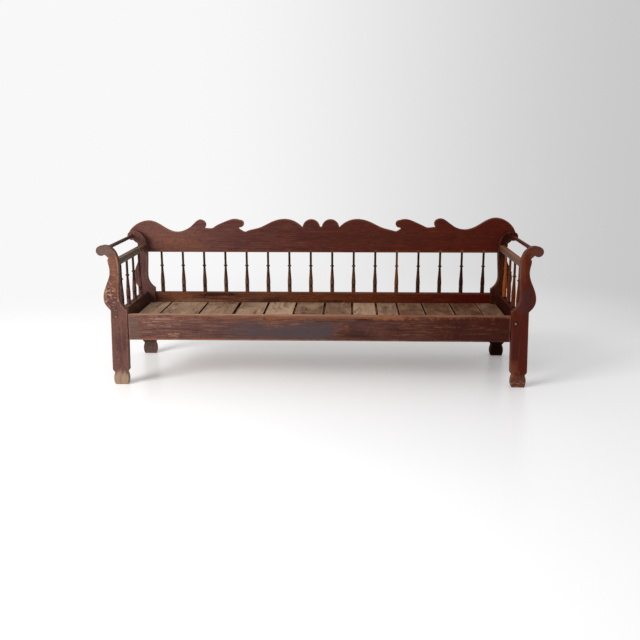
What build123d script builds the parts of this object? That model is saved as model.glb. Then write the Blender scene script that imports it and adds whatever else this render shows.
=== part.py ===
"""Pull-out bench bed.

Four S-scroll posts stand at the corners. End rails, arm rails and round arm rods join the front
posts to the rear posts, and a scalloped crest board and a back rail join the rear posts. A row of
turned spindles fills the back, and a shorter row fills each arm. The seat is a set of loose boards
laid front to back. Every other board is fixed to the frame, and the boards between are fastened to
the front apron, so that the apron draws forward between the posts and the two sets of boards slide
past each other like two combs. Two legs behind the apron then swing down to carry it.

Millimetres. X runs along the bench, Y from front to back, Z up from the floor. The origin is on
the floor, under the middle of the bench. The sizes below that name a height are heights above the
floor.
"""

import os
from math import cos, radians, sin

from build123d import *

os.makedirs("parts", exist_ok=True)

# ---------------------------------------------------------------- sizes: posts
post_spacing = 1987.0  # between the centre lines of the left and right legs
post_pitch_y = 601.0  # from the front posts' front face to the rear posts' front face
post_thickness = 34.0
leg_width = 84.0
scroll_base_z = 385.0  # where the leg ends and the scroll begins
arm_height = 710.0  # top of the scroll's arch
neck_inset = 32.5  # from the leg's inner edge to the neck's inner edge
neck_width = 46.5
belly_overhang = 31.5  # how far the belly stands out past the leg
tip_overhang = 31.0  # from the leg's outer edge to the centre of the scroll's tip
tip_radius = 24.7
tip_drop = 2.5  # how far the tip's top lies under the arch's
crotch_angle = 228.0  # where the neck meets the tip, in degrees round the tip
front_splay = 7.0  # how much further out a front leg stands at the foot than at the scroll
rear_splay = 3.0
rear_lean = -4.0  # how far the rear posts lean to the left over the arm's height
foot_top_z = 77.0
foot_notch_z = 64.0
foot_bulb_z = 34.0
foot_notch_half = 31.0
foot_bulb_half = 38.0
foot_base_half = 31.5

# ---------------------------------------------------------------- sizes: rails and joints
rail_axis_inset = 54.5  # from the leg's inner edge to the middle of everything in the arm's plane
arm_shift = -4.5  # both arms' rails and rods sit this much left of the posts' mirror places
arm_spindle_shift = 3.0  # and the arm spindles this much right of the rails' middle
end_rail_thickness = 29.0
end_rail_depth = 130.0
end_rail_top_z = 366.0
arm_rail_thickness = 27.0
arm_rail_depth = 32.0
arm_rail_drop = 76.0  # from the top of the scroll's arch down to the arm rail's top
arm_rod_diameter = 19.0
arm_rod_inset = 2.5  # from the centre of the scroll's tip to the rod's axis, inwards
arm_rod_drop = 1.5  # and downwards
tenon_thickness = 12.0
tenon_length = 15.0
tenon_shoulder = 5.0  # the tenon is this much shallower than a slim rail, above and below
end_tenon_shoulder = 22.0  # the same on the deep end rails
joint_clearance = 0.2

# ---------------------------------------------------------------- sizes: back
back_rail_thickness = 34.0
back_rail_depth = 128.0
back_rail_top_z = 357.0
back_rail_setback = 20.0  # the rail is let into the rear posts' backs, this far behind their fronts
back_rail_end_gap = 0.5
crest_thickness = 22.0
crest_rise = 64.0  # how far the crest's humps stand above the scrolls' arches
crest_skirt = 123.0  # how far its straight lower edge lies below them
scallop_depth = 67.0  # from the humps' tops to the bottom of the deepest hollow
crest_tip_inset = 6.0  # from the scroll tips' outer edge to the crest's end
crest_neck_inset = 8.0  # the lower edge ends behind the necks, this far inside their outer edge
crest_end_lift = 9.0  # the right outer hump stands this much high, the left one this much low
crest_mid_lift = 4.0
crest_shift = -7.0  # the crest is nailed on a little to the left of the middle
crest_hook_shift = -7.5  # its wave hooks were sawn still further to the left

# ---------------------------------------------------------------- sizes: spindles
back_spindle_count = 16
back_spindle_end_gap = 40.25  # from a leg's inner edge to the first spindle's axis
back_spindle_shift = -3.5  # the row stands a little to the left of the middle
back_spindle_inset = 14.0  # from the back of the crest to the spindles' axis
arm_spindle_count = 4
arm_spindle_pitch = 124.0
arm_spindle_front_gap = 85.0  # from a front post's back to the first spindle's axis
spindle_base_radius = 11.1
spindle_swell_radius = 11.3
spindle_groove_radius = 9.5
spindle_waist_radius = 6.4
spindle_bead_radius = 10.3
spindle_top_radius = 6.2
spindle_pin_radius = 5.0
spindle_pin_length = 14.0
spindle_top_seat = 12.0  # how far the thin end goes into the rail or crest above
pin_clearance = 0.15

# ---------------------------------------------------------------- sizes: seat
board_thickness = 20.0
board_underside_z = 281.0
board_end_gap = 12.5  # from the end rails' mirror places to the outer boards' ends
# Old boards, each of its own width. These are their widths against each other, left to right.
board_shares = (118, 210, 187, 162, 159, 161, 153, 133, 117, 142, 158, 147, 111)
# The boards have shrunk apart. These are the twelve gaps between them, left to right.
board_gaps = (8.0, 9.0, 17.0, 11.0, 11.0, 12.0, 11.0, 11.0, 9.0, 8.0, 8.0, 5.0)
fixed_board_setback = 62.0  # front ends of the fixed boards, from the posts' front face
fixed_board_back_gap = 1.0
moving_board_back_gap = 5.0
leg_notch_gap = 1.0  # end boards are notched round the rear legs with this gap
seat_cleat_height = 35.0
end_cleat_width = 20.0
back_cleat_width = 33.0
bearer_setback = 104.0  # front face of the fixed cross bearer, from the posts' front face
bearer_width = 46.0
bearer_depth = 60.0

# ---------------------------------------------------------------- sizes: pull-out front
slide_gap = 0.3  # between flat faces that slide past each other
apron_thickness = 26.0
apron_depth = 131.0
apron_top_z = 364.0
apron_setback = 3.0
apron_end_gap = 1.0
ledger_width = 28.0
ledger_end_inset = 20.0
ledger_height = 40.0
slide_rail_inset = 176.5  # from a leg's inner edge to the slide rail's middle
slide_rail_width = 40.0
slide_rail_height = 35.0
slide_notch_side_gap = 1.0
slide_rail_back_inset = 7.0  # in front of the back cleat
stop_height = 25.0
stop_width = 30.0  # the stops' front faces meet the bearer when the seat is 400 mm out
fold_leg_inset = 75.0  # from a slide rail's middle to the fold leg's pivot
fold_leg_size = 36.0
fold_leg_floor_gap = 1.0
pivot_radius = 5.0
pivot_clearance = 0.08
pivot_washer_radius = 11.0
pivot_washer_thickness = 2.0
pivot_nut_flats = 16.0
pivot_nut_height = 6.0
pivot_blind_depth = 25.0

# ---------------------------------------------------------------- places worked out from the sizes
leg_inner = post_spacing / 2 - leg_width / 2
leg_outer = post_spacing / 2 + leg_width / 2
rail_axis_x = leg_inner + rail_axis_inset
tip_centre_x = leg_outer + tip_overhang
tip_centre_z = arm_height - tip_drop - tip_radius
arm_rod_x = tip_centre_x - arm_rod_inset
arm_rod_z = tip_centre_z - arm_rod_drop

overall_depth = post_pitch_y + post_thickness + crest_thickness
front_y = -overall_depth / 2  # the front posts' front face
post_back_y = front_y + post_thickness
rear_y = front_y + post_pitch_y  # the rear posts' front face
rear_back_y = rear_y + post_thickness
back_rail_y = rear_y + back_rail_setback  # the back rail's front face
spindle_y = rear_back_y + crest_thickness - back_spindle_inset

end_rail_inner = rail_axis_x - end_rail_thickness / 2
seat_half_length = end_rail_inner - board_end_gap
arm_rail_top_z = arm_height - arm_rail_drop
arm_rail_bottom_z = arm_rail_top_z - arm_rail_depth
back_rail_bottom_z = back_rail_top_z - back_rail_depth
crest_top_z = arm_height + crest_rise
crest_bottom_z = arm_height - crest_skirt
crest_half_length = tip_centre_x + tip_radius - crest_tip_inset
crest_lower_half_length = leg_inner + neck_inset + neck_width - crest_neck_inset
cleat_bottom_z = board_underside_z - seat_cleat_height

bearer_y = front_y + bearer_setback
bearer_back_y = bearer_y + bearer_width
apron_y = front_y + apron_setback
apron_back_y = apron_y + apron_thickness
ledger_back_y = apron_back_y + ledger_width
moving_underside_z = board_underside_z + slide_gap
slide_bottom_z = moving_underside_z - slide_rail_height
slide_rail_x = leg_inner - slide_rail_inset
fold_leg_x = slide_rail_x - fold_leg_inset
back_cleat_y = back_rail_y - back_cleat_width


# ---------------------------------------------------------------- helpers
def bar(x_span, y_span, z_span, mode=Mode.ADD):
    """A squared bar of wood between two X, two Y and two Z planes, in the current part."""
    spans = (x_span, y_span, z_span)
    with Locations(tuple((low + high) / 2 for low, high in spans)):
        Box(*(high - low for low, high in spans), mode=mode)


def save(part, name):
    """Label a finished piece and write it to its own STEP file."""
    part.label = name
    export_step(part, f"parts/{name}.step")


def both_ways(side, low, high):
    """The span from low to high on the right, or its mirror image on the left."""
    return (low, high) if side > 0 else (-high, -low)


def centred(middle, width):
    """The span of a given width about its middle."""
    return (middle - width / 2, middle + width / 2)


sides = (("left", -1), ("right", 1))


# ---------------------------------------------------------------- posts
def make_post(side, post_y, faces_back):
    """One S-scroll post: foot, leg, belly, neck, arch and tip, sawn from a single board.

    The mortises open on the face towards the other post of the same arm: the back face of a front
    post, or the front face of a rear post.
    """
    scroll = arm_height - scroll_base_z
    neck_inner = leg_inner + neck_inset
    neck_outer = neck_inner + neck_width
    splay = front_splay if faces_back else rear_splay
    lean = 0 if faces_back else rear_lean
    foot_inner = leg_inner + splay
    foot_outer = leg_outer + splay
    foot_x = (foot_inner + foot_outer) / 2

    def at(x, z):
        return (side * x + lean * z / arm_height, z)

    def up(share):
        return scroll_base_z + share * scroll

    crotch = at(
        tip_centre_x + tip_radius * cos(radians(crotch_angle)),
        tip_centre_z + tip_radius * sin(radians(crotch_angle)),
    )
    arch_end = at(tip_centre_x, tip_centre_z + tip_radius)
    foot_arch = foot_notch_z - (foot_top_z - foot_notch_z) * 0.1

    with BuildPart() as post:
        with BuildSketch(Plane.XZ.offset(-(post_y + post_thickness))):
            with BuildLine():
                Line(at(foot_x - foot_base_half, 0), at(foot_x + foot_base_half, 0))
                ThreePointArc(
                    at(foot_x + foot_base_half, 0),
                    at(foot_x + foot_bulb_half, foot_bulb_z),
                    at(foot_x + foot_notch_half, foot_arch),
                )
                Line(at(foot_x + foot_notch_half, foot_arch), at(foot_outer, foot_top_z))
                Line(at(foot_outer, foot_top_z), at(leg_outer, scroll_base_z))
                Spline(
                    at(leg_outer, scroll_base_z),
                    at(leg_outer + belly_overhang * 0.9, up(0.12)),
                    at(leg_outer + belly_overhang, up(0.21)),
                    at(leg_outer + belly_overhang * 0.38, up(0.41)),
                    at(neck_outer, up(0.66)),
                    at(neck_outer + neck_width * 0.1, up(0.79)),
                    crotch,
                    tangents=[(side, 0.95), (side, 0.8)],
                )
                ThreePointArc(crotch, at(tip_centre_x + tip_radius, tip_centre_z), arch_end)
                Spline(
                    arch_end,
                    at(leg_outer + 2, arm_height - 1.5),
                    at(neck_inner + neck_width * 0.36, up(0.91)),
                    at(neck_inner + neck_width * 0.07, up(0.8)),
                    at(neck_inner, up(0.62)),
                    at(neck_inner + neck_width * 0.07, up(0.42)),
                    at(neck_inner + neck_width * 0.14, up(0.23)),
                )
                ThreePointArc(
                    at(neck_inner + neck_width * 0.14, up(0.23)),
                    at(leg_inner + neck_inset * 0.87, up(0.088)),
                    at(leg_inner, scroll_base_z),
                )
                Line(at(leg_inner, scroll_base_z), at(foot_inner, foot_top_z))
                Line(at(foot_inner, foot_top_z), at(foot_x - foot_notch_half, foot_arch))
                ThreePointArc(
                    at(foot_x - foot_notch_half, foot_arch),
                    at(foot_x - foot_bulb_half, foot_bulb_z),
                    at(foot_x - foot_base_half, 0),
                )
            make_face()
        extrude(amount=post_thickness)

        # Blind mortises for the end rail and the arm rail, and a socket for the arm rod.
        depth = tenon_length + joint_clearance
        mouth_y = post_y + post_thickness if faces_back else post_y
        mortise_y = (mouth_y - depth, mouth_y) if faces_back else (mouth_y, mouth_y + depth)
        mortise_x = centred(side * rail_axis_x + arm_shift, tenon_thickness + 2 * joint_clearance)
        for bottom, top, shoulder in (
            (end_rail_top_z - end_rail_depth, end_rail_top_z, end_tenon_shoulder),
            (arm_rail_bottom_z, arm_rail_top_z, tenon_shoulder),
        ):
            mortise_z = (bottom + shoulder - joint_clearance, top - shoulder + joint_clearance)
            bar(mortise_x, mortise_y, mortise_z, mode=Mode.SUBTRACT)
        with BuildSketch(Plane.XZ.offset(-mortise_y[1])):
            with Locations((side * arm_rod_x + arm_shift, arm_rod_z)):
                Circle(arm_rod_diameter / 2 + pin_clearance)
        extrude(amount=depth, mode=Mode.SUBTRACT)

        # The back rail is let into the backs of the rear posts.
        if not faces_back:
            bar(
                centred(side * (leg_inner + leg_outer) / 2, 2 * leg_width),
                (back_rail_y, rear_back_y + 1),
                (back_rail_bottom_z, back_rail_top_z),
                mode=Mode.SUBTRACT,
            )
    return post.part


for side_name, side in sides:
    save(make_post(side, front_y, True), f"front_{side_name}_post")
    save(make_post(side, rear_y, False), f"rear_{side_name}_post")


# ---------------------------------------------------------------- spindles
def make_spindle(x, y, bottom, top):
    """One turned spindle: base, groove, long tapering swell, waist, ring bead and thin top."""
    length = top - bottom
    foot = Plane(origin=(x, y, bottom), x_dir=(1, 0, 0), z_dir=(0, -1, 0))
    with BuildPart() as spindle:
        with BuildSketch(foot):
            with BuildLine():
                Polyline(
                    (0, -spindle_pin_length),
                    (spindle_pin_radius, -spindle_pin_length),
                    (spindle_pin_radius, 0),
                    (spindle_base_radius, 0),
                    (spindle_base_radius, length * 0.155),
                    (spindle_groove_radius, length * 0.165),
                    (spindle_swell_radius, length * 0.185),
                    (spindle_swell_radius, length * 0.28),
                    (spindle_swell_radius * 0.74, length * 0.46),
                    (spindle_waist_radius, length * 0.6),
                    (spindle_waist_radius, length * 0.64),
                    (spindle_bead_radius, length * 0.65),
                    (spindle_bead_radius, length * 0.672),
                    (spindle_top_radius, length * 0.683),
                    (spindle_top_radius, length + spindle_top_seat),
                    (0, length + spindle_top_seat),
                    close=True,
                )
            make_face()
        revolve(axis=Axis((x, y, bottom), (0, 0, 1)))
    return spindle.part


first_spindle_x = leg_inner - back_spindle_end_gap
back_spindle_pitch = 2 * first_spindle_x / (back_spindle_count - 1)
back_spindle_xs = [
    back_spindle_shift - first_spindle_x + back_spindle_pitch * index
    for index in range(back_spindle_count)
]
arm_clear = post_pitch_y - post_thickness
arm_spindle_ys = [
    post_back_y + arm_spindle_front_gap + arm_spindle_pitch * index
    for index in range(arm_spindle_count)
]

for number, x in enumerate(back_spindle_xs, start=1):
    spindle = make_spindle(x, spindle_y, back_rail_top_z, crest_bottom_z)
    save(spindle, f"back_spindle_{number:02d}")

for side_name, side in sides:
    spindle_x = side * rail_axis_x + arm_shift + arm_spindle_shift
    for number, y in enumerate(arm_spindle_ys, start=1):
        spindle = make_spindle(spindle_x, y, end_rail_top_z, arm_rail_bottom_z)
        save(spindle, f"{side_name}_arm_spindle_{number}")


# ---------------------------------------------------------------- arms
for side_name, side in sides:
    arm_x = side * rail_axis_x + arm_shift
    pin_places = [(arm_x + arm_spindle_shift, y) for y in arm_spindle_ys]

    with BuildPart() as end_rail:
        end_rail_bottom_z = end_rail_top_z - end_rail_depth
        bar(
            centred(arm_x, end_rail_thickness),
            (post_back_y, rear_y),
            (end_rail_bottom_z, end_rail_top_z),
        )
        bar(
            centred(arm_x, tenon_thickness),
            (post_back_y - tenon_length, rear_y + tenon_length),
            (end_rail_bottom_z + end_tenon_shoulder, end_rail_top_z - end_tenon_shoulder),
        )
        with Locations([(x, y, end_rail_top_z) for x, y in pin_places]):
            Hole(spindle_pin_radius + pin_clearance, depth=spindle_pin_length + joint_clearance)
    save(end_rail.part, f"{side_name}_end_rail")

    with BuildPart() as arm_rail:
        bar(
            centred(arm_x, arm_rail_thickness),
            (post_back_y, rear_y),
            (arm_rail_bottom_z, arm_rail_top_z),
        )
        bar(
            centred(arm_x, tenon_thickness),
            (post_back_y - tenon_length, rear_y + tenon_length),
            (arm_rail_bottom_z + tenon_shoulder, arm_rail_top_z - tenon_shoulder),
        )
        seat_depth = spindle_top_seat + joint_clearance
        with Locations([(x, y, arm_rail_bottom_z + seat_depth / 2) for x, y in pin_places]):
            Cylinder(spindle_top_radius + pin_clearance, seat_depth, mode=Mode.SUBTRACT)
    save(arm_rail.part, f"{side_name}_arm_rail")

    with BuildPart() as arm_rod:
        with BuildSketch(Plane.XZ.offset(-(rear_y + tenon_length))):
            with Locations((side * arm_rod_x + arm_shift, arm_rod_z)):
                Circle(arm_rod_diameter / 2)
        extrude(amount=arm_clear + 2 * tenon_length)
    save(arm_rod.part, f"{side_name}_arm_rod")


# ---------------------------------------------------------------- back
with BuildPart() as back_rail:
    bar(
        centred(rear_lean / 2, 2 * (leg_outer - back_rail_end_gap)),
        (back_rail_y, back_rail_y + back_rail_thickness),
        (back_rail_bottom_z, back_rail_top_z),
    )
    with Locations([(x, spindle_y, back_rail_top_z) for x in back_spindle_xs]):
        Hole(spindle_pin_radius + pin_clearance, depth=spindle_pin_length + joint_clearance)
save(back_rail.part, "back_rail")

with BuildPart() as crest_board:
    with BuildSketch(Plane.XZ.offset(-(rear_back_y + crest_thickness))):
        for side in (-1, 1):
            end_lift = side * crest_end_lift
            mid_lift = side * crest_mid_lift

            def crest(along, down, lift=0.0):
                """A point of the scalloped edge.

                along is a share of the half length, from the centre, and down is a share of the
                deepest hollow's depth, from the humps' tops.
                """
                x = crest_shift + side * along * crest_half_length
                return (x, crest_top_z - down * scallop_depth + lift)

            def hook(along, down, lift=0.0):
                """The same for a point of the two wave hooks."""
                x, z = crest(along, down, lift)
                return (x + crest_hook_shift, z)

            def level(x, z):
                return (crest_shift + side * x, z)

            with BuildLine():
                # Small round hump beside the centre, and a V between it and the next.
                Line(level(0, crest_bottom_z), crest(0, 0.66))
                Line(crest(0, 0.66), crest(0.005, 0.63))
                ThreePointArc(crest(0.005, 0.63), crest(0.05, 0.02), crest(0.095, 0.68))
                # Long hump that falls into a hollow, which ends under the first wave hook.
                Spline(
                    crest(0.095, 0.68),
                    crest(0.13, 0.24),
                    crest(0.185, 0),
                    crest(0.259, 0.27),
                    crest(0.324, 0.76),
                    crest(0.381, 1),
                    hook(0.421, 0.78),
                    tangents=[(side, 0.95), (side, 0.75)],
                )
                # First hook: a rounded nose, then the long back of the wave.
                Line(hook(0.421, 0.78), hook(0.4125, 0.7))
                ThreePointArc(hook(0.4125, 0.7), hook(0.3925, 0.4), hook(0.4125, 0.09))
                Spline(
                    hook(0.4125, 0.09),
                    hook(0.4385, 0),
                    hook(0.4945, 0.25),
                    hook(0.5445, 0.63),
                    hook(0.5975, 0.7, mid_lift),
                    tangents=[(side, 0.4), (side, 0.15)],
                )
                # Second, smaller hook, then a deep hollow and the outer hump.
                ThreePointArc(
                    hook(0.5975, 0.7, mid_lift),
                    hook(0.5905, 0.36, mid_lift),
                    hook(0.6065, 0.06, mid_lift),
                )
                Spline(
                    hook(0.6065, 0.06, mid_lift),
                    hook(0.6235, 0, mid_lift),
                    crest(0.666, 0.43, mid_lift),
                    crest(0.703, 0.82, end_lift * 0.6),
                    crest(0.749, 0.97, end_lift * 0.9),
                    crest(0.805, 0.67, end_lift),
                    crest(0.851, 0.22, end_lift),
                    crest(0.9065, 0.01, end_lift),
                )
                ThreePointArc(
                    crest(0.9065, 0.01, end_lift),
                    crest(0.9665, 0.4, end_lift * 0.8),
                    crest(1, 1.07),
                )
                # The end is cut away behind the post's tip and neck.
                Spline(
                    crest(1, 1.07),
                    level(tip_centre_x, tip_centre_z - tip_radius * 1.1),
                    level(crest_lower_half_length, tip_centre_z - tip_radius * 2.2),
                )
                Line(
                    level(crest_lower_half_length, tip_centre_z - tip_radius * 2.2),
                    level(crest_lower_half_length, crest_bottom_z),
                )
                Line(level(crest_lower_half_length, crest_bottom_z), level(0, crest_bottom_z))
            make_face()
    extrude(amount=crest_thickness)
    crest_seat = spindle_top_seat + joint_clearance
    with Locations([(x, spindle_y, crest_bottom_z + crest_seat / 2) for x in back_spindle_xs]):
        Cylinder(spindle_top_radius + pin_clearance, crest_seat, mode=Mode.SUBTRACT)
save(crest_board.part, "crest_board")


# ---------------------------------------------------------------- seat supports
with BuildPart() as back_cleat:
    bar(
        centred(0, 2 * (leg_inner - leg_notch_gap)),
        (back_cleat_y, back_rail_y),
        (cleat_bottom_z, board_underside_z),
    )
save(back_cleat.part, "back_cleat")

with BuildPart() as end_cleats:
    for _, side in sides:
        bar(
            centred(side * (end_rail_inner - end_cleat_width / 2) + arm_shift, end_cleat_width),
            (bearer_back_y, rear_y),
            (cleat_bottom_z, board_underside_z),
        )
save(end_cleats.part, "end_cleats")

with BuildPart() as front_bearer:
    bar(
        centred(arm_shift, 2 * end_rail_inner),
        (bearer_y, bearer_back_y),
        (board_underside_z - bearer_depth, board_underside_z),
    )
    for _, side in sides:
        bar(
            centred(side * slide_rail_x, slide_rail_width + 2 * slide_notch_side_gap),
            (bearer_y - 1, bearer_back_y + 1),
            (slide_bottom_z - slide_gap, board_underside_z + 1),
            mode=Mode.SUBTRACT,
        )
save(front_bearer.part, "front_bearer")


# ---------------------------------------------------------------- seat boards
seam_x = -seat_half_length
width_per_share = 2 * seat_half_length / sum(board_shares)
gaps_on_left = (0.0, *board_gaps)
gaps_on_right = (*board_gaps, 0.0)
for number, (share, left_gap, right_gap) in enumerate(
    zip(board_shares, gaps_on_left, gaps_on_right), start=1
):
    left_edge = seam_x + left_gap / 2
    seam_x += share * width_per_share
    right_edge = seam_x - right_gap / 2
    moves = number % 2 == 0
    with BuildPart() as seat_board:
        if moves:
            bar(
                (left_edge, right_edge),
                (apron_back_y, back_rail_y - moving_board_back_gap),
                (moving_underside_z, moving_underside_z + board_thickness),
            )
        else:
            bar(
                (left_edge, right_edge),
                (front_y + fixed_board_setback, back_rail_y - fixed_board_back_gap),
                (board_underside_z, board_underside_z + board_thickness),
            )
            for _, side in sides:
                bar(
                    both_ways(side, leg_inner - leg_notch_gap, leg_outer),
                    (rear_y - leg_notch_gap, back_rail_y),
                    (board_underside_z - 1, board_underside_z + board_thickness + 1),
                    mode=Mode.SUBTRACT,
                )
    save(seat_board.part, f"seat_board_{number:02d}")


# ---------------------------------------------------------------- pull-out front
with BuildPart() as front_apron:
    bar(
        centred(0, 2 * (leg_inner - apron_end_gap)),
        (apron_y, apron_back_y),
        (apron_top_z - apron_depth, apron_top_z),
    )
save(front_apron.part, "front_apron")

pivot_z = board_underside_z - slide_gap - fold_leg_size / 2
with BuildPart() as apron_ledger:
    bar(
        centred(0, 2 * (leg_inner - ledger_end_inset)),
        (apron_back_y, ledger_back_y),
        (moving_underside_z - ledger_height, moving_underside_z),
    )
    for _, side in sides:
        with BuildSketch(Plane.XZ.offset(-ledger_back_y)):
            with Locations((side * fold_leg_x, pivot_z)):
                Circle(pivot_radius + joint_clearance)
        extrude(amount=pivot_blind_depth + joint_clearance, mode=Mode.SUBTRACT)
save(apron_ledger.part, "apron_ledger")

slide_back_y = back_cleat_y - slide_rail_back_inset
for side_name, side in sides:
    with BuildPart() as slide_rail:
        bar(
            centred(side * slide_rail_x, slide_rail_width),
            (ledger_back_y, slide_back_y),
            (slide_bottom_z, moving_underside_z),
        )
    save(slide_rail.part, f"{side_name}_slide_rail")

# The stops sit at the slide rails' back ends, and meet the bearer when the seat is drawn out.
with BuildPart() as slide_stops:
    for _, side in sides:
        bar(
            centred(side * slide_rail_x, slide_rail_width),
            (slide_back_y - stop_width, slide_back_y),
            (slide_bottom_z - stop_height, slide_bottom_z),
        )
save(slide_stops.part, "slide_stops")

fold_leg_y = ledger_back_y + slide_gap
fold_leg_back_y = fold_leg_y + fold_leg_size
fold_leg_length = pivot_z - fold_leg_floor_gap
for side_name, side in sides:
    pivot_x = side * fold_leg_x
    with BuildPart() as fold_leg:
        # Folded up, the leg lies along the bench and points to its middle.
        with BuildSketch(Plane.XZ.offset(-fold_leg_back_y)):
            with Locations((pivot_x, pivot_z)):
                Circle(fold_leg_size / 2)
            with Locations((pivot_x - side * fold_leg_length / 2, pivot_z)):
                Rectangle(fold_leg_length, fold_leg_size)
            with Locations((pivot_x, pivot_z)):
                Circle(pivot_radius + pivot_clearance, mode=Mode.SUBTRACT)
        extrude(amount=fold_leg_size)
    save(fold_leg.part, f"{side_name}_fold_leg")

with BuildPart() as pivot_bolts:
    washer_y = fold_leg_back_y + slide_gap
    nut_y = washer_y + pivot_washer_thickness
    bolt_end_y = nut_y + pivot_nut_height
    bolt_length = bolt_end_y - ledger_back_y + pivot_blind_depth
    for _, side in sides:
        pivot = (side * fold_leg_x, pivot_z)
        with BuildSketch(Plane.XZ.offset(-bolt_end_y)):
            with Locations(pivot):
                Circle(pivot_radius)
        extrude(amount=bolt_length)
        with BuildSketch(Plane.XZ.offset(-nut_y)):
            with Locations(pivot):
                Circle(pivot_washer_radius)
        extrude(amount=pivot_washer_thickness)
        with BuildSketch(Plane.XZ.offset(-bolt_end_y)):
            with Locations(pivot):
                RegularPolygon(pivot_nut_flats / 2, 6, major_radius=False)
        extrude(amount=pivot_nut_height)
save(pivot_bolts.part, "pivot_bolts")
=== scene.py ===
"""The looks of the pull-out bench bed: old stained wood, weathered seat boards and a pale floor."""

import math
import random

import bmesh
import bpy
from mathutils import Matrix, Vector


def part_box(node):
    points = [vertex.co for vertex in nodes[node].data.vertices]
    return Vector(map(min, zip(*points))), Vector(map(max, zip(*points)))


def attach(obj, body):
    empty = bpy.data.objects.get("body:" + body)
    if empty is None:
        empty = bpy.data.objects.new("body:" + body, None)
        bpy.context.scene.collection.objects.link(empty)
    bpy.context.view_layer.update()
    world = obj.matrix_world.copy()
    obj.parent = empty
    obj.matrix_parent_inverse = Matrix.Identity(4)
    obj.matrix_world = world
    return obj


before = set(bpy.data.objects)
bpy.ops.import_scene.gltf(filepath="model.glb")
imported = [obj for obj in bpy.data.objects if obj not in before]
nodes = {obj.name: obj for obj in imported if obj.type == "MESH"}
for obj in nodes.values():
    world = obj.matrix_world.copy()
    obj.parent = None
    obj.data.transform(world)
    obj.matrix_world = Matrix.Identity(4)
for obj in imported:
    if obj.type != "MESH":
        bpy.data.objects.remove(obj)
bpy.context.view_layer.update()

# ---------------------------------------------------------------- colours, as linear light
# A stain is three colours: at the west end of the bench, in the middle and at the east end.
# Its paling to the west is partly faded stain and partly painted light: lighter and greyer west, deeper
# east.
RED_STAIN = ((0.107, 0.044, 0.040), (0.067, 0.015, 0.011), (0.061, 0.006, 0.003))
DUSTY_STAIN = ((0.108, 0.050, 0.043), (0.078, 0.037, 0.032), (0.032, 0.004, 0.003))
FOXY_STAIN = ((0.130, 0.046, 0.027), (0.108, 0.027, 0.007), (0.066, 0.003, 0.001))
BROWN_STAIN = ((0.112, 0.052, 0.023), (0.118, 0.043, 0.014), (0.022, 0.003, 0.001))
OLIVE_STAIN_AND_HIGHLIGHT = ((0.085, 0.060, 0.038), (0.085, 0.055, 0.032), (0.085, 0.040, 0.026))
# also painted shade: on the rear right post and the right end rail it darkens them where shade falls
DEEP_STAIN_AND_SHADE = ((0.050, 0.020, 0.013), (0.036, 0.010, 0.007), (0.018, 0.002, 0.001))
DARK_STAIN = (0.022, 0.008, 0.007)
PURPLE_STAIN = (0.048, 0.024, 0.026)
GREY_DUST = (0.105, 0.085, 0.070)
SLATE_DUST = (0.055, 0.043, 0.047)
ORANGE_WEAR_AND_HIGHLIGHT = (0.240, 0.085, 0.036)
AMBER_WEAR_AND_HIGHLIGHT = (0.300, 0.075, 0.012)
TAN_WEAR_AND_HIGHLIGHT = (0.420, 0.200, 0.105)
PALE_WEAR = (0.380, 0.215, 0.140)
BARE_WOOD = (0.285, 0.185, 0.125)
DARK_BOARD = (0.104, 0.038, 0.018)
PALE_BOARD = (0.420, 0.270, 0.178)
BLEACHED_BOARD = (0.540, 0.380, 0.250)
BOARD_SOOT = (0.045, 0.020, 0.012)
# painted shade: the near black of the seams between the seat boards
SEAM_SHADE = (0.026, 0.009, 0.003)
RAW_PINE = (0.265, 0.160, 0.088)
RAW_PINE_DARK = (0.125, 0.068, 0.036)
# also painted shade on the spindles and on the rear right foot
SOOT_AND_SHADE = (0.008, 0.003, 0.002)
PEG_END = (0.170, 0.100, 0.075)
OLD_IRON = (0.045, 0.040, 0.038)
RUST = (0.110, 0.045, 0.022)
WHITE = (1.0, 1.0, 1.0)
VARNISH_TINT = (1.0, 0.45, 0.30)  # what old brown varnish does to a reflection

# how pale and dry each seat board is, from the west end to the east end: 0 is dark and 1 is pale
# painted light: the first board's tone, 1.1, is raised past pale against the shadow of the arm and end
# rail over it
BOARD_TONES = (1.1, 0.9, 0.75, 0.8, 1.15, 0.35, 0.3, 0.95, 0.45, 0.1, 0.02, -0.05, 0.15)

# ---------------------------------------------------------------- sizes, in metres unless said
GRAIN_STRETCH = 0.06  # how slowly the wood changes along its grain, against across it
RING_TURN = 1400.0  # radians a metre, which makes year rings about 4.5 mm wide
RING_WANDER = 60.0  # radians by which the rings stray from true circles
RING_REPEAT = 0.3  # the rings start again about another pith this far on
BROAD_WEAR = 0.014  # how wide an arris is worn on boards, rails and posts
NARROW_WEAR = 0.003  # and on spindles and rods
MARK_DEPTH = 0.03  # how deep a mark on a front face reaches

ROUND_STAINED = 0.0022  # how far arrises are rounded on posts, rails and other stained pieces
ROUND_SPINDLE = 0.0007
ROUND_BOARD = 0.002
ROUND_INNER = 0.0015
ROUND_BOLT = 0.0005
SHARP_ANGLE = 32  # degrees from which an edge is an arris, on most pieces
SHARP_ON_SPINDLE = 12
FLAT_ANGLE = 0.6  # degrees up to which two faces are one plane
SAME_POINT = 0.00002  # how near two corners are to count as one

PEG_RADIUS = 0.0135
PEG_STAND = 0.0016
PEG_INSET = 0.022  # from the post's inner side to the peg's middle
PEG_RISE = 0.029  # from the apron's middle up to the peg's
NAIL_RADIUS = 0.0032
NAIL_STAND = 0.0008
NAIL_INSET = 0.022  # from a board's side to its nails
NAIL_STRAY = (0.006, 0.004)  # how far a board's nails stray from their lines, across and along
BACK_NAIL_INSET = 0.035  # from a rear post's inner side to its nails
BACK_NAIL_STRAY = 0.008
BACK_NAIL_HEIGHTS = {"crest_board": (0.12, 0.38), "back_rail": (0.25, 0.70)}  # shares of its height

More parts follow.
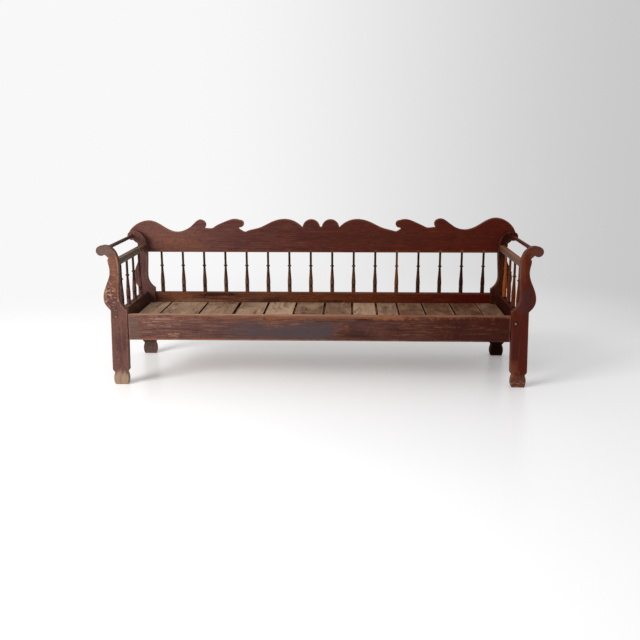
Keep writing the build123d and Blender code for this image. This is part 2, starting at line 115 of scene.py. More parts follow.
# ---------------------------------------------------------------- the room
FLOOR = (0.95, 0.945, 0.945)
FLOOR_HALF = 30.0
FLOOR_ROUGHNESS = 0.3
FLOOR_GLOSS = 0.2
FLOOR_GLOW = 0.095  # how much brighter the floor looks than the light on it makes it
FADE_BEHIND = (1.6, 3.4)  # how far off the floor turns into the backdrop, behind the bench
FADE_AROUND = (4.5, 10.0)  # and on its other sides
NORTH_OF_BENCH = (-1.0, 1.2)  # from where to where the one gives way to the other
BACKDROP_LEFT = 0.94
BACKDROP_RIGHT = 0.57
BACKDROP_EAST = (-0.215, 0.387)  # between which bearings it darkens, as the eastward part of each
BACKDROP_NORTH = (-0.3, 0.3)  # it does so in the north alone, and fades out between these
BEARING_POINT = (0.153, -4.28, 0)  # where the floor's bearings are taken from
SKY_STRENGTH = 0.6
WINDOW_PLACE = (-4.0, -3.4, 2.4)
WINDOW_TARGET = (0, 0, 0.4)
WINDOW_SIZE = (2.6, 2.2)
WINDOW_POWER = 285
CAMERA_PLACE = (0.153, -4.2755, 1.253)
CAMERA_TURN = (-2.070, 12.993, -0.135)  # degrees to the east, down and of roll
SENSOR_WIDTH = 36.0
LENS = 46.01

AXES = {"X": 0, "Y": 1, "Z": 2}


# ---------------------------------------------------------------- materials: building nodes
class Shader:
    """One material's nodes. Each call adds nodes and gives back their output."""

    def __init__(self, name):
        self.material = bpy.data.materials.new(name)
        self.material.use_nodes = True
        self.tree = self.material.node_tree
        self.surface = self.tree.nodes["Principled BSDF"]

    def put(self, socket, value):
        if isinstance(value, bpy.types.NodeSocket):
            self.tree.links.new(value, socket)
        elif socket.type == "RGBA":
            socket.default_value = (*value, 1.0)
        else:
            socket.default_value = value

    def add(self, kind, inputs, output=0, **settings):
        node = self.tree.nodes.new(kind)
        for key, value in settings.items():
            setattr(node, key, value)
        for socket, value in inputs.items():
            self.put(node.inputs[socket], value)
        return node.outputs[output]

    def math(self, operation, a, b=0.0):
        return self.add("ShaderNodeMath", {0: a, 1: b}, operation=operation)

    def total(self, start, *terms):
        """start plus each (value, weight) of terms."""
        for value, weight in terms:
            start = self.math("ADD", start, self.math("MULTIPLY", value, weight))
        return start

    def vector(self, operation, a, b=(0.0, 0.0, 0.0), output=0):
        return self.add("ShaderNodeVectorMath", {0: a, 1: b}, output, operation=operation)

    def length(self, a):
        return self.vector("LENGTH", a, output="Value")

    def part(self, a, axis):
        """How far the vector a goes along X, Y or Z."""
        return self.add("ShaderNodeSeparateXYZ", {0: a}, AXES[axis])

    def normal(self):
        return self.add("ShaderNodeNewGeometry", {}, "Normal")

    def mix(self, a, b, share):
        """Colour a turning into colour b as share goes from 0 to 1."""
        # the node's inputs 6 and 7 and its output 2 are the ones that carry colours
        return self.add("ShaderNodeMix", {0: share, 6: a, 7: b}, 2, data_type="RGBA")

    def band(self, value, low, high, top=1.0):
        """0 at low and top at high, with a smooth step between them."""
        inputs = {"Value": value, 1: low, 2: high, 3: 0.0, 4: top}
        return self.add("ShaderNodeMapRange", inputs, interpolation_type="SMOOTHSTEP")

    def layers(self, colour, *rows):
        """Colours laid over colour in turn, from rows of (colour, texture, low, high, top).

        A row may end with one more texture, and its colour then shows only as far as that one is 1.
        """
        for tint, texture, low, high, top, *within in rows:
            share = self.band(texture, low, high, top)
            for limit in within:
                share = self.math("MULTIPLY", share, limit)
            colour = self.mix(colour, tint, share)
        return colour

    def noise(self, place, scale, detail, roughness, distortion=0.0):
        """A random texture from 0 to 1, with about scale waves in a metre."""
        inputs = {
            "Vector": place,
            "Scale": scale,
            "Detail": detail,
            "Roughness": roughness,
            "Distortion": distortion,
        }
        return self.add("ShaderNodeTexNoise", inputs)

    def patch(self, place, centre, reach):
        """1 about centre, falling to 0 at reach along each axis, with a ragged edge."""
        inverse = tuple(1 / r for r in reach)
        away = self.vector("MULTIPLY", self.vector("SUBTRACT", place, centre), inverse)
        ragged = self.math("SUBTRACT", self.noise(place, 40.0, 6.0, 0.7), 0.5)
        return self.band(self.total(self.length(away), (ragged, 2.8)), 1.15, 0.45)


class Wood(Shader):
    """A material of solid wood, whose grain runs along X, Y or Z of the frame.

    Its textures run from 0 to 1. Along the grain, fibre is fine streaks, vein middling and streak
    broad ones, and ring is the year rings about a pith beside the piece. speck is small spots, scuff
    short level ones, and cloud the slow change from patch to patch. edge is 1 on worn arrises.
    """

    def __init__(self, name, grain, seed, worn_width=BROAD_WEAR):
        super().__init__(name)
        draw = random.Random(seed)
        self.place = self.add("ShaderNodeTexCoord", {}, "Object")
        stretch = [1.0, 1.0, 1.0]
        stretch[AXES[grain]] = GRAIN_STRETCH
        shift = tuple(draw.uniform(-5, 5) for _ in range(3))
        self.shifted = self.vector("ADD", self.place, shift)
        self.grained = self.vector("MULTIPLY", self.shifted, tuple(stretch))
        self.fibre = self.noise(self.grained, 420.0, 4.0, 0.6)
        self.streak = self.noise(self.grained, 70.0, 6.0, 0.65, 0.3)
        self.vein = self.noise(self.grained, 190.0, 4.0, 0.65)
        self.cloud = self.noise(self.shifted, 6.0, 4.0, 0.55)
        self.speck = self.noise(self.shifted, 160.0, 3.0, 0.6)
        level = self.vector("MULTIPLY", self.shifted, (0.5, 0.5, 1.0))
        self.scuff = self.noise(level, 115.0, 4.0, 0.6, 0.6)
        self.ring = self.year_rings(grain, draw)
        self.edge = self.worn_edge(worn_width)

    def year_rings(self, grain, draw):
        pith = tuple(draw.choice((-1, 1)) * draw.uniform(0.06, 0.14) for _ in range(3))
        across = [1.0, 1.0, 1.0]
        across[AXES[grain]] = 0.0
        wander = self.noise(self.grained, 9.0, 2.0, 0.5)
        place = self.vector("ADD", self.shifted, pith)
        folded = self.vector("MODULO", place, (RING_REPEAT,) * 3)
        radius = self.length(self.vector("MULTIPLY", folded, tuple(across)))
        turned = self.total(0.0, (radius, RING_TURN), (wander, RING_WANDER))
        return self.total(0.5, (self.math("SINE", turned), 0.5))

    def worn_edge(self, width):
        """About 0 on flat faces and up to 1 on corners that hands and feet have rubbed."""
        rounded = self.add("ShaderNodeBevel", {"Radius": width}, samples=4)
        same = self.vector("DOT_PRODUCT", rounded, self.normal(), output="Value")
        return self.band(same, 0.998, 0.93)

    def finish(self, colour, roughness, bump, gloss=0.4, tint=WHITE):
        self.put(self.surface.inputs["Base Color"], colour)
        self.put(self.surface.inputs["Roughness"], roughness)
        height = self.total(0.0, (self.fibre, 0.5), (self.ring, 0.15), (self.streak, 0.8))
        inputs = {"Strength": bump, "Distance": 0.0015, "Height": height}
        self.put(self.surface.inputs["Normal"], self.add("ShaderNodeBump", inputs))
        self.put(self.surface.inputs["Specular IOR Level"], gloss)
        self.put(self.surface.inputs["Specular Tint"], tint)
        return self.material


# ---------------------------------------------------------------- materials: the woods and the iron
def stain_and_grain(s, stain, east, dry, figure, speckle):
    """The stain from end to end of the bench, with its grain and specks.

    dry is a texture too, and the layers that end with it show only as far as it says.
    """
    return s.layers(
        stain[0],
        (stain[1], east, -1.05, 0.15, 1.0),
        (stain[2], east, -0.15, 0.95, 1.0),
        (DARK_STAIN, s.streak, 0.50, 0.68, 0.55 * figure),
        (DARK_STAIN, s.vein, 0.52, 0.66, 0.45 * figure),
        (PALE_WEAR, s.vein, 0.48, 0.36, 0.20 * figure, dry),
        (ORANGE_WEAR_AND_HIGHLIGHT, s.streak, 0.47, 0.32, 0.25 * figure, dry),
        (PURPLE_STAIN, s.cloud, 0.54, 0.72, 0.45, dry),
        (DARK_STAIN, s.speck, 0.50, 0.66, 1.6 * speckle),
        (PALE_WEAR, s.speck, 0.50, 0.34, 0.5 * speckle, dry),
        (ORANGE_WEAR_AND_HIGHLIGHT, s.fibre, 0.60, 0.80, 0.30, dry),
        (DARK_STAIN, s.ring, 0.7, 1.0, 0.15),
    )


def lay_marks(s, colour, marks):
    """Single spots over colour, from (centre, reach, colour, strength, texture)."""
    textures = {
        "veil": 1.0,
        "streaks": s.band(s.streak, 0.34, 0.52),
        "scratches": s.band(s.vein, 0.51, 0.58),
        "scuffs": s.band(s.scuff, 0.54, 0.61),
        "arris": s.edge,
    }
    for centre, reach, tint, strength, texture in marks:
        spot = s.math("MULTIPLY", s.patch(s.place, centre, reach), textures[texture])
        colour = s.mix(colour, tint, s.math("MULTIPLY", spot, strength))
    return colour


def lay_bare_top(s, colour, east, strength):
    """Upward faces worn through by hands and dried by the sun."""
    worn = s.layers(PALE_WEAR, (ORANGE_WEAR_AND_HIGHLIGHT, east, -0.5, 0.6, 1.0))
    patchy = s.band(s.streak, 0.70, 0.45)
    return s.layers(colour, (worn, s.part(s.normal(), "Z"), 0.4, 0.8, strength, patchy))


def lay_bare_foot(s, colour, strength):
    """The lowest stretch of a post, washed down to grey wood with a ragged upper edge."""
    bare = s.layers(
        BARE_WOOD,
        (GREY_DUST, s.streak, 0.48, 0.70, 0.7),
        (DARK_STAIN, s.speck, 0.54, 0.70, 0.5),
    )
    height = s.total(s.part(s.place, "Z"), (s.streak, -0.14), (s.speck, -0.06))
    return s.layers(colour, (bare, height, -0.025, -0.050, strength))


def stained_wood(
    name,
    grain,
    seed,
    stain=RED_STAIN,
    figure=1.0,
    wear=0.6,
    rub=ORANGE_WEAR_AND_HIGHLIGHT,
    worn_width=BROAD_WEAR,
    speckle=0.2,
    gloss=0.2,
    bare_foot=0.0,
    bare_top=0.0,
    marks=(),
):
    """Old red-brown stain over pine.

    figure is how strongly the grain shows, and speckle how uneven the stain is from spot to spot.
    wear is how far the arrises are rubbed through to the colour rub, bare_foot and bare_top how far
    a foot and the upward faces are bare. marks are single spots: (centre, reach, colour, strength,
    texture). A spot is an even veil, streaks along the grain, fine scratches along it, short scuffs,
    or wear on the arrises, as wide as worn_width.
    """
    s = Wood(name, grain, seed, worn_width)
    east = s.total(s.part(s.place, "X"), (s.math("SUBTRACT", s.cloud, 0.5), 0.5))
    dry = s.total(0.17, (s.band(east, 0.9, -0.8), 0.83))
    colour = stain_and_grain(s, stain, east, dry, figure, speckle)
    colour = lay_marks(s, colour, marks)
    uneven = s.band(s.total(s.cloud, (s.speck, 0.6)), 0.60, 0.95)
    rubbed = s.math("MULTIPLY", s.edge, uneven)
    colour = s.mix(colour, rub, s.math("MULTIPLY", rubbed, wear))
    if bare_top:
        colour = lay_bare_top(s, colour, east, bare_top)
    if bare_foot:
        colour = lay_bare_foot(s, colour, bare_foot)
    nicked = s.band(s.cloud, 0.45, 0.6)
    colour = s.layers(colour, (DARK_STAIN, s.speck, 0.66, 0.72, 0.5, nicked))
    roughness = s.total(0.25, (s.cloud, 0.3), (s.streak, 0.3))
    return s.finish(colour, roughness, 0.3, gloss, VARNISH_TINT)


def board_wood(name, seed, tone):
    """A dry seat board with no stain left. tone goes from dark (0) to pale (1)."""
    s = Wood(name, "Y", seed)
    ground = tuple(dark + (pale - dark) * tone for dark, pale in zip(DARK_BOARD, PALE_BOARD))
    long = s.vector("MULTIPLY", s.shifted, (1.0, 0.35, 1.0))
    bleached = s.noise(long, 19.0, 6.0, 0.7, 0.4)
    sooty = s.noise(long, 13.0, 7.0, 0.75, 0.6)
    colour = s.layers(
        ground,
        (DARK_BOARD, s.streak, 0.50, 0.72, 0.8),
        (BLEACHED_BOARD, bleached, 0.42, 0.68, 0.24 + 0.46 * tone),
        (BOARD_SOOT, s.ring, 0.5, 1.0, 0.2),
        (BLEACHED_BOARD, s.fibre, 0.55, 0.80, 0.25),
        (BOARD_SOOT, sooty, 0.48, 0.68, 0.75),
        (BOARD_SOOT, s.speck, 0.58, 0.74, 0.5),
    )
    colour = s.mix(colour, PALE_WEAR, s.math("MULTIPLY", s.edge, 0.4))
    # painted shade: the boards' side faces, down in the seams, are darkened to near black
    sideways = s.math("ABSOLUTE", s.part(s.normal(), "X"))
    colour = s.layers(colour, (SEAM_SHADE, sideways, 0.5, 0.9, 1.0))
    return s.finish(colour, 0.85, 0.5, 0.1, VARNISH_TINT)


def inner_wood(name, grain, seed):
    """Plain unstained pine, out of sight below the seat."""
    s = Wood(name, grain, seed)
    colour = s.layers(
        RAW_PINE,
        (RAW_PINE_DARK, s.streak, 0.4, 0.8, 0.8),
        (RAW_PINE_DARK, s.ring, 0.4, 1.0, 0.5),
        (BOARD_SOOT, s.cloud, 0.5, 0.75, 0.6),
    )
    return s.finish(colour, 0.85, 0.4, 0.2)


def peg_wood(name, centre):
    """The end grain of a peg, with a dark rim where dirt has gathered round it."""
    s = Wood(name, "Y", seed=901)
    flat = s.vector("MULTIPLY", s.vector("SUBTRACT", s.place, centre), (1, 0, 1))
    colour = s.layers(
        PEG_END,
        (DARK_STAIN, s.speck, 0.45, 0.70, 0.6),
        (SOOT_AND_SHADE, s.length(flat), PEG_RADIUS * 0.35, PEG_RADIUS * 0.60, 1.0),
    )
    return s.finish(colour, 0.6, 0.4, 0.2, VARNISH_TINT)


def old_iron(name, seed):
    """Dark forged iron with rust in patches."""
    s = Wood(name, "Z", seed)
    colour = s.layers(OLD_IRON, (RUST, s.cloud, 0.42, 0.62, 1.0))
    s.put(s.surface.inputs["Metallic"], 0.8)
    return s.finish(colour, s.band(s.speck, 0.2, 0.9), 0.6)


# ---------------------------------------------------------------- how each piece looks
# A mark is (across, up, half width, half height, colour, strength, texture). across and up are
# shares of the piece's front, from its west side and from its lower side, and the two halves are in
# metres. The textures are those of lay_marks.
LOOKS = {
    "front_left_post": dict(
        stain=DUSTY_STAIN,
        figure=0.5,
        wear=0.25,
        speckle=0.25,
        bare_foot=1.0,
        marks=(
            # partly wear and partly painted highlight: a pale band on the inner arris, made bright for
            # the light it catches
            (0.80, 0.77, 0.050, 0.190, TAN_WEAR_AND_HIGHLIGHT, 0.9, "arris"),
            (0.42, 0.66, 0.060, 0.150, PURPLE_STAIN, 0.75, "veil"),
            (0.40, 0.66, 0.050, 0.110, ORANGE_WEAR_AND_HIGHLIGHT, 0.6, "scuffs"),
            (0.45, 0.74, 0.050, 0.160, TAN_WEAR_AND_HIGHLIGHT, 0.35, "scuffs"),
            (0.38, 0.67, 0.030, 0.060, PALE_WEAR, 0.40, "scratches"),
            (0.42, 0.64, 0.045, 0.100, PALE_WEAR, 0.55, "scuffs"),
            (0.35, 0.60, 0.050, 0.120, TAN_WEAR_AND_HIGHLIGHT, 0.4, "arris"),
            (0.60, 0.73, 0.018, 0.100, ORANGE_WEAR_AND_HIGHLIGHT, 0.25, "veil"),
            (0.55, 0.86, 0.020, 0.060, ORANGE_WEAR_AND_HIGHLIGHT, 0.3, "streaks"),
            (0.15, 0.96, 0.055, 0.035, PURPLE_STAIN, 0.5, "veil"),
            (0.22, 0.96, 0.055, 0.030, GREY_DUST, 0.7, "streaks"),
            (0.70, 0.30, 0.040, 0.080, PURPLE_STAIN, 0.6, "streaks"),
            (0.80, 0.38, 0.020, 0.012, PALE_WEAR, 0.5, "scuffs"),
        ),
    ),
    "front_right_post": dict(
        figure=0.7,
        wear=0.3,
        speckle=0.10,
        bare_foot=0.12,
        marks=(
            (0.28, 0.86, 0.035, 0.090, ORANGE_WEAR_AND_HIGHLIGHT, 0.20, "streaks"),
            # painted highlight: a greyish sheen on the scroll tip
            (0.80, 0.95, 0.050, 0.040, OLIVE_STAIN_AND_HIGHLIGHT[2], 0.60, "veil"),
            (0.14, 0.12, 0.035, 0.060, ORANGE_WEAR_AND_HIGHLIGHT, 0.30, "streaks"),
            (0.25, 0.30, 0.040, 0.120, DARK_STAIN, 0.35, "streaks"),
            (0.30, 0.02, 0.050, 0.020, PALE_WEAR, 0.75, "scuffs"),
            (0.45, 0.62, 0.040, 0.080, PURPLE_STAIN, 0.45, "veil"),
            (0.62, 0.62, 0.030, 0.130, DARK_STAIN, 0.45, "streaks"),
            (0.10, 0.80, 0.025, 0.080, ORANGE_WEAR_AND_HIGHLIGHT, 0.20, "veil"),
        ),
    ),
    "rear_left_post": dict(
        speckle=0.2,
        bare_foot=0.15,
        marks=(
            (0.5, 0.50, 0.20, 0.60, PURPLE_STAIN, 0.5, "veil"),
            (0.5, 0.06, 0.10, 0.08, SLATE_DUST, 0.8, "veil"),
            (0.5, 0.09, 0.10, 0.06, SOOT_AND_SHADE, 0.7, "streaks"),
        ),
    ),
    "rear_right_post": dict(
        # painted shade: the deep stain darkens this post in the dark rear right corner
        stain=DEEP_STAIN_AND_SHADE,
        wear=0.4,
        speckle=0.1,
        gloss=0.05,
        marks=(
            # painted shade: a dark veil on the foot, under the bench
            (0.5, 0.10, 0.10, 0.12, SOOT_AND_SHADE, 0.8, "veil"),
            # painted highlight: an orange streak on the west side of the belly, where light catches it
            (0.2, 0.60, 0.08, 0.16, ORANGE_WEAR_AND_HIGHLIGHT, 0.10, "streaks"),
        ),
    ),
    "crest_board": dict(
        figure=0.6,
        speckle=0.08,
        gloss=0.14,
        bare_top=0.5,
        marks=(
            (0.13, 0.20, 0.180, 0.045, ORANGE_WEAR_AND_HIGHLIGHT, 0.25, "streaks"),
            (0.10, 0.55, 0.200, 0.060, TAN_WEAR_AND_HIGHLIGHT, 0.10, "streaks"),
            (0.72, 0.45, 0.500, 0.070, DARK_STAIN, 0.22, "streaks"),
            (0.75, 0.40, 0.500, 0.110, AMBER_WEAR_AND_HIGHLIGHT, 0.13, "scratches"),
            (0.06, 0.75, 0.160, 0.120, ORANGE_WEAR_AND_HIGHLIGHT, 0.6, "arris"),
        ),
    ),
    "back_rail": dict(
        stain=FOXY_STAIN,
        gloss=0.04,
        marks=(
            (0.16, 0.62, 0.180, 0.014, PALE_WEAR, 0.30, "streaks"),
            # painted highlight: an orange streak near the west end, for the rail's sheen
            (0.11, 0.85, 0.080, 0.025, ORANGE_WEAR_AND_HIGHLIGHT, 0.50, "streaks"),
            (0.22, 0.85, 0.140, 0.022, DARK_STAIN, 0.75, "streaks"),
            (0.30, 0.60, 0.130, 0.045, SLATE_DUST, 0.50, "scratches"),
            (0.36, 0.70, 0.060, 0.025, DARK_STAIN, 0.60, "streaks"),
            (0.53, 0.60, 0.080, 0.010, DARK_STAIN, 0.80, "veil"),
            (0.62, 0.80, 0.060, 0.020, ORANGE_WEAR_AND_HIGHLIGHT, 0.35, "scratches"),
        ),
    ),
    "front_apron": dict(
        stain=DUSTY_STAIN,
        rub=PALE_WEAR,
        speckle=0.15,
        gloss=0.14,
        bare_top=0.9,
        marks=(
            (0.01, 0.45, 0.045, 0.090, GREY_DUST, 0.50, "streaks"),
            (0.09, 0.72, 0.120, 0.030, PALE_WEAR, 0.60, "scratches"),
            (0.12, 0.21, 0.034, 0.013, PALE_WEAR, 0.80, "scratches"),
            (0.13, 0.17, 0.020, 0.009, PALE_WEAR, 0.50, "scuffs"),
            (0.38, 0.35, 0.260, 0.060, SLATE_DUST, 0.95, "streaks"),
            (0.49, 0.36, 0.130, 0.060, SLATE_DUST, 0.95, "streaks"),
            (0.56, 0.35, 0.050, 0.055, ORANGE_WEAR_AND_HIGHLIGHT, 0.55, "scratches"),
            (0.59, 0.22, 0.110, 0.040, DARK_STAIN, 0.60, "streaks"),
            (0.70, 0.40, 0.060, 0.030, DARK_STAIN, 0.45, "streaks"),
            (0.41, 0.75, 0.160, 0.030, ORANGE_WEAR_AND_HIGHLIGHT, 0.60, "scratches"),
            (0.50, 0.95, 0.900, 0.016, ORANGE_WEAR_AND_HIGHLIGHT, 0.45, "streaks"),
            (0.615, 0.84, 0.055, 0.006, DARK_STAIN, 0.90, "veil"),
            (0.69, 0.90, 0.110, 0.010, ORANGE_WEAR_AND_HIGHLIGHT, 0.60, "streaks"),
            (0.86, 0.60, 0.050, 0.030, DARK_STAIN, 0.50, "veil"),
            (0.75, 0.50, 0.250, 0.060, ORANGE_WEAR_AND_HIGHLIGHT, 0.35, "scratches"),
            (0.92, 0.50, 0.110, 0.050, ORANGE_WEAR_AND_HIGHLIGHT, 0.22, "scratches"),
            (0.92, 0.30, 0.100, 0.030, DARK_STAIN, 0.50, "streaks"),
            (0.30, 0.01, 0.900, 0.007, ORANGE_WEAR_AND_HIGHLIGHT, 0.70, "veil"),
        ),
    ),
    "left_arm_rail": dict(stain=OLIVE_STAIN_AND_HIGHLIGHT, rub=TAN_WEAR_AND_HIGHLIGHT, bare_top=0.2),
    "right_arm_rail": dict(stain=OLIVE_STAIN_AND_HIGHLIGHT, bare_top=1.0),
    "left_arm_rod": dict(stain=DEEP_STAIN_AND_SHADE, worn_width=NARROW_WEAR),
    "right_arm_rod": dict(worn_width=NARROW_WEAR, gloss=0.08),
    "left_end_rail": dict(stain=DEEP_STAIN_AND_SHADE, rub=PALE_WEAR, gloss=0.1),
    # painted shade: the deep stain darkens this rail toward the dark rear right corner
    "right_end_rail": dict(stain=DEEP_STAIN_AND_SHADE, figure=0.5, wear=0.2, speckle=0.1, gloss=0.02),
}
GRAINS = {"post": "Z", "board": "X", "apron": "X", "back_rail": "X"}  # by how a name ends, else Y

SPINDLE_STAINS = {"left": RED_STAIN, "right": FOXY_STAIN, "back": BROWN_STAIN}
WAIST_SHARE = 0.85  # where a spindle gets painted shade above its bead, as a share of its height
GROOVE_SHARE = 0.205  # and the painted shade ring in the groove near its foot
SPINDLE_REACH = 0.05  # wider than any spindle, so a mark goes right round
# two spindles with amber streaks, partly worn stain and partly painted highlight: half height and
# strength of their streaks
AMBER_SPINDLES = {"back_spindle_12": (0.20, 0.35), "right_arm_spindle_4": (0.22, 0.65)}


def middle_of(name):
    low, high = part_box(name)
    return tuple((a + b) / 2 for a, b in zip(low, high))


def front_marks(name, rows):
    """The marks of one piece as stained_wood takes them, from their rows in LOOKS."""
    low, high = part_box(name)
    marks = []
    for across, up, half_width, half_height, colour, strength, texture in rows:
        x = low[0] + across * (high[0] - low[0])
        z = low[2] + up * (high[2] - low[2])
        reach = (half_width, MARK_DEPTH, half_height)
        marks.append(((x, low[1], z), reach, colour, strength, texture))
    return marks


def spindle_looks(name):
    """Spindles are brown on the back and red on the arms, with painted shade above the bead and in the
    groove.
    """
    low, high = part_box(name)
    middle = middle_of(name)

    def round_mark(share, half_height, colour, strength, texture):
        centre = (middle[0], middle[1], low[2] + share * (high[2] - low[2]))
        return (centre, (SPINDLE_REACH, SPINDLE_REACH, half_height), colour, strength, texture)

    marks = [
        # painted shade: the upper part under the rail above, and a dark ring for the groove's shade
        round_mark(WAIST_SHARE, 0.13, SOOT_AND_SHADE, 0.75, "veil"),
        round_mark(GROOVE_SHARE, 0.011, SOOT_AND_SHADE, 0.75, "veil"),
    ]
    if name.startswith("right"):
        marks.append(round_mark(0.5, 0.40, AMBER_WEAR_AND_HIGHLIGHT, 0.16, "veil"))
    # partly painted highlight: amber streaks on these two spindles
    if name in AMBER_SPINDLES:
        half_height, strength = AMBER_SPINDLES[name]
        marks.append(round_mark(0.5, half_height, AMBER_WEAR_AND_HIGHLIGHT, strength, "streaks"))
    stain = SPINDLE_STAINS[name.split("_")[0]]
    return dict(stain=stain, worn_width=NARROW_WEAR, gloss=0.08, marks=marks)


def soften(obj, width, segments=2, angle=SHARP_ANGLE):
    """Rounds a CAD node's arrises by modifiers and shades it smooth. Its own vertices stay."""
    if "custom_normal" in obj.data.attributes:
        obj.data.attributes.remove(obj.data.attributes["custom_normal"])
    obj.data.shade_smooth()
    weld = obj.modifiers.new("weld", "WELD")
    weld.merge_threshold = SAME_POINT
    plain = obj.modifiers.new("plain faces", "DECIMATE")
    plain.decimate_type = "DISSOLVE"
    plain.angle_limit = math.radians(FLAT_ANGLE)
    bevel = obj.modifiers.new("soft arrises", "BEVEL")
    bevel.width = width
    bevel.segments = segments
    bevel.limit_method = "ANGLE"
    bevel.angle_limit = math.radians(angle)
    bevel.use_clamp_overlap = False
    bevel.harden_normals = True


def dress(name, node, seed):
    """Rounds a CAD node's arrises and gives it its material."""
    label = name + "_wood"
    if name.startswith("seat_board"):
        soften(node, ROUND_BOARD)
        material = board_wood(label, seed, BOARD_TONES[int(name[-2:]) - 1])
    elif "spindle" in name:
        soften(node, ROUND_SPINDLE, angle=SHARP_ON_SPINDLE)
        material = stained_wood(label, "Z", seed, **spindle_looks(name))
    elif name in LOOKS:
        soften(node, ROUND_STAINED, segments=3)
        grain = next((axis for end, axis in GRAINS.items() if name.endswith(end)), "Y")
        looks = dict(LOOKS[name])
        looks["marks"] = front_marks(name, looks.get("marks", ()))
        material = stained_wood(label, grain, seed, **looks)
    elif name == "pivot_bolts":
        soften(node, ROUND_BOLT)
        material = old_iron(name + "_iron", seed)
    else:
        soften(node, ROUND_INNER)
        grain = "Y" if "slide_rail" in name or "end_cleats" in name else "X"
        material = inner_wood(label, grain, seed)
    node.data.materials.clear()
    node.data.materials.append(material)


# ---------------------------------------------------------------- the peg and the nails
def new_object(name, data):
    obj = bpy.data.objects.new(name, data)
    bpy.context.scene.collection.objects.link(obj)
    return obj


def domed_head(shape, place, facing, radius, stand):
    """Adds a slightly domed round head at place, which looks along facing, to the bmesh shape."""
    steps = 20
    profile = ((1.0, -0.5), (1.0, 0.45), (0.90, 0.80), (0.60, 0.96))  # shares of radius and stand
    turn = Vector(facing).to_track_quat("Z", "Y")

    def corner(across, out, step):
        angle = math.tau * step / steps
        flat = Vector((math.cos(angle), math.sin(angle), 0)) * radius * across
        return shape.verts.new(Vector(place) + turn @ (flat + Vector((0, 0, stand * out))))

    rings = [[corner(across, out, step) for step in range(steps)] for across, out in profile]
    tip = corner(0.0, 1.0, 0)
    for step in range(steps):
        after = (step + 1) % steps
        for lower, upper in zip(rings, rings[1:]):
            shape.faces.new((lower[step], lower[after], upper[after], upper[step]))
        shape.faces.new((rings[-1][step], rings[-1][after], tip))
    shape.faces.new(list(reversed(rings[0])))


def make_heads(name, body, heads, radius, stand, material):
    """One piece of pegs' or nails' heads, from their (place, facing)."""
    shape = bmesh.new()
    for place, facing in heads:
        domed_head(shape, place, facing, radius, stand)
    mesh = bpy.data.meshes.new(name)
    shape.to_mesh(mesh)
    shape.free()
    mesh.shade_smooth()
    mesh.materials.append(material)
    piece = new_object(name, mesh)
    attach(piece, body)


def make_peg():
    """The peg through the right front post, which shows on its front face."""
    post_low, post_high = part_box("front_right_post")
    height = middle_of("front_apron")[2] + PEG_RISE
    place = (post_low[0] + PEG_INSET, post_low[1], height)
    material = peg_wood("peg_wood", place)
    heads = [(place, (0, -1, 0))]
    make_heads("front_right_peg", "frame", heads, PEG_RADIUS, PEG_STAND, material)


def make_nails():
    """Two nails where a seat board lies on what carries it, and two at each end of crest and rail."""
    draw = random.Random(5150)
    heads = {"frame": [], "tray": []}
    for number in range(1, len(BOARD_TONES) + 1):
        low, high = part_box(f"seat_board_{number:02d}")
        fixed = number % 2 == 1
        body = "frame" if fixed else "tray"
        for support in ("back_cleat", "front_bearer") if fixed else ("apron_ledger",):
            for x in (low[0] + NAIL_INSET, high[0] - NAIL_INSET):
                y = middle_of(support)[1] + draw.uniform(-NAIL_STRAY[1], NAIL_STRAY[1])
                x += draw.uniform(-NAIL_STRAY[0], NAIL_STRAY[0])
                heads[body].append(((x, y, high[2]), (0, 0, 1)))
    for board, shares in BACK_NAIL_HEIGHTS.items():
        low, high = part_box(board)
        for post in ("rear_left_post", "rear_right_post"):
            post_low, post_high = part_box(post)
            inner = min(post_low[0], post_high[0], key=abs)
            for share in shares:
                stray = draw.uniform(-BACK_NAIL_STRAY, BACK_NAIL_STRAY)
                x = inner + math.copysign(BACK_NAIL_INSET, inner) + stray
                place = (x, high[1], low[2] + share * (high[2] - low[2]))
                heads["frame"].append((place, (0, 1, 0)))
    iron = old_iron("nail_iron", seed=77)
    for body in heads:
        make_heads(f"{body}_nails", body, heads[body], NAIL_RADIUS, NAIL_STAND, iron)


# ---------------------------------------------------------------- floor, light and camera
def backdrop(s, heading):
    """How bright the room is in a level direction: a little darker to the north east."""
    darker = s.band(s.part(heading, "X"), *BACKDROP_EAST, BACKDROP_LEFT - BACKDROP_RIGHT)
    darker = s.math("MULTIPLY", darker, s.band(s.part(heading, "Y"), *BACKDROP_NORTH))
    return s.math("SUBTRACT", BACKDROP_LEFT, darker)


def looked_at(s):
    """1 for what is seen straight, or by way of gloss or glass, and 0 for light that falls on things."""
    camera = s.add("ShaderNodeLightPath", {}, "Is Camera Ray")
    glossy = s.add("ShaderNodeLightPath", {}, "Is Glossy Ray")
    through = s.add("ShaderNodeLightPath", {}, "Is Transmission Ray")
    return s.math("MAXIMUM", s.math("MAXIMUM", camera, glossy), through)


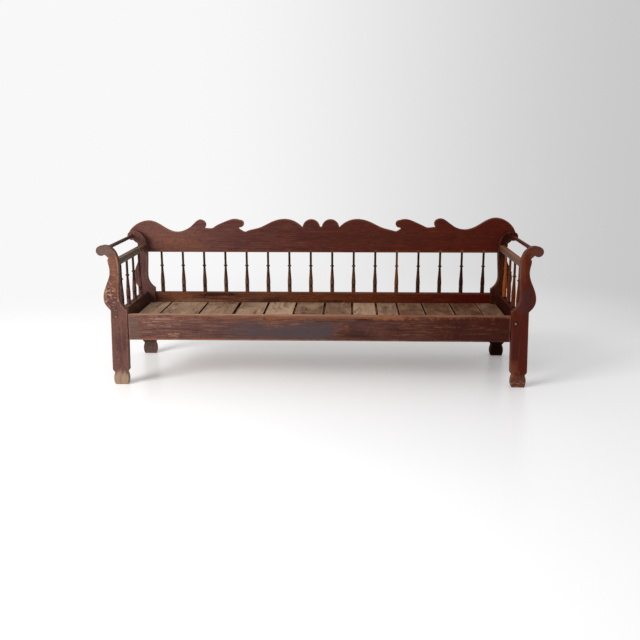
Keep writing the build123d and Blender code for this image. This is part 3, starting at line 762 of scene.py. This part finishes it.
def floor_paint():
    """Pale paint near the bench, and the backdrop's own brightness far from it."""
    s = Shader("floor_paint")
    s.put(s.surface.inputs["Base Color"], FLOOR)
    s.put(s.surface.inputs["Roughness"], FLOOR_ROUGHNESS)
    s.put(s.surface.inputs["Specular IOR Level"], FLOOR_GLOSS)
    place = s.add("ShaderNodeTexCoord", {}, "Object")
    heading = s.vector("NORMALIZE", s.vector("SUBTRACT", place, BEARING_POINT))
    away = s.length(place)
    north = s.band(s.part(place, "Y"), *NORTH_OF_BENCH)
    behind = s.math("MULTIPLY", s.band(away, *FADE_BEHIND), north)
    far = s.math("MAXIMUM", behind, s.band(away, *FADE_AROUND))
    seen = looked_at(s)
    glow = {"Color": WHITE, "Strength": s.math("MULTIPLY", seen, FLOOR_GLOW)}
    near = {0: s.surface.outputs[0], 1: s.add("ShaderNodeEmission", glow)}
    mist = s.add("ShaderNodeEmission", {"Color": WHITE, "Strength": backdrop(s, heading)})
    both = {0: s.math("MULTIPLY", far, seen), 1: s.add("ShaderNodeAddShader", near), 2: mist}
    shown = s.add("ShaderNodeMixShader", both)
    s.put(s.tree.nodes["Material Output"].inputs["Surface"], shown)
    return s.material


def make_floor():
    """A pale polished floor, which fades into the backdrop some way from the bench."""
    mesh = bpy.data.meshes.new("floor")
    corners = [(x * FLOOR_HALF, y * FLOOR_HALF, 0) for x, y in ((-1, -1), (1, -1), (1, 1), (-1, 1))]
    mesh.from_pydata(corners, [], [(0, 1, 2, 3)])
    mesh.materials.append(floor_paint())
    floor = new_object("floor", mesh)


class Sky(Shader):
    """The world's nodes, made with the same calls as a material's."""

    def __init__(self, name):
        world = bpy.data.worlds.new(name)
        bpy.context.scene.world = world
        world.use_nodes = True
        self.tree = world.node_tree
        self.surface = self.tree.nodes["Background"]


def make_world():
    """Even light from all round, and a backdrop for whatever looks straight at it."""
    s = Sky("room")
    s.put(s.surface.inputs["Color"], WHITE)
    s.put(s.surface.inputs["Strength"], SKY_STRENGTH)
    level = s.vector("MULTIPLY", s.add("ShaderNodeTexCoord", {}, "Generated"), (1, 1, 0))
    bright = backdrop(s, s.vector("NORMALIZE", level))
    seen = s.add("ShaderNodeBackground", {"Color": WHITE, "Strength": bright})
    shown = s.add("ShaderNodeMixShader", {0: looked_at(s), 1: s.surface.outputs[0], 2: seen})
    s.put(s.tree.nodes["World Output"].inputs["Surface"], shown)


def make_window():
    """One large soft lamp, high in the south west."""
    data = bpy.data.lights.new("window", "AREA")
    data.shape = "RECTANGLE"
    data.size, data.size_y = WINDOW_SIZE
    data.energy = WINDOW_POWER
    lamp = new_object("window", data)
    lamp.location = WINDOW_PLACE
    lamp.rotation_mode = "QUATERNION"
    aim = Vector(WINDOW_TARGET) - Vector(WINDOW_PLACE)
    lamp.rotation_quaternion = aim.to_track_quat("-Z", "Y")


def make_camera():
    """The photograph's viewing point: a little right of the middle, at chest height."""
    yaw, pitch, roll = (math.radians(angle) for angle in CAMERA_TURN)
    level_ahead = Vector((math.sin(yaw), math.cos(yaw), 0))
    ahead = math.cos(pitch) * level_ahead - math.sin(pitch) * Vector((0, 0, 1))
    level_right = Vector((math.cos(yaw), -math.sin(yaw), 0))
    level_up = level_right.cross(ahead)
    right = math.cos(roll) * level_right + math.sin(roll) * level_up
    up = math.cos(roll) * level_up - math.sin(roll) * level_right
    data = bpy.data.cameras.new("camera")
    data.sensor_width = SENSOR_WIDTH
    data.lens = LENS
    camera = new_object("camera", data)
    turn = Matrix((right, up, -ahead)).transposed()
    camera.matrix_world = Matrix.Translation(CAMERA_PLACE) @ turn.to_4x4()
    bpy.context.scene.camera = camera


# ---------------------------------------------------------------- everything in its place
for number, name in enumerate(sorted(nodes)):
    dress(name, nodes[name], seed=100 + number)
make_peg()
make_nails()
make_floor()
make_world()
make_window()
make_camera()
bpy.context.scene.view_settings.view_transform = "Standard"
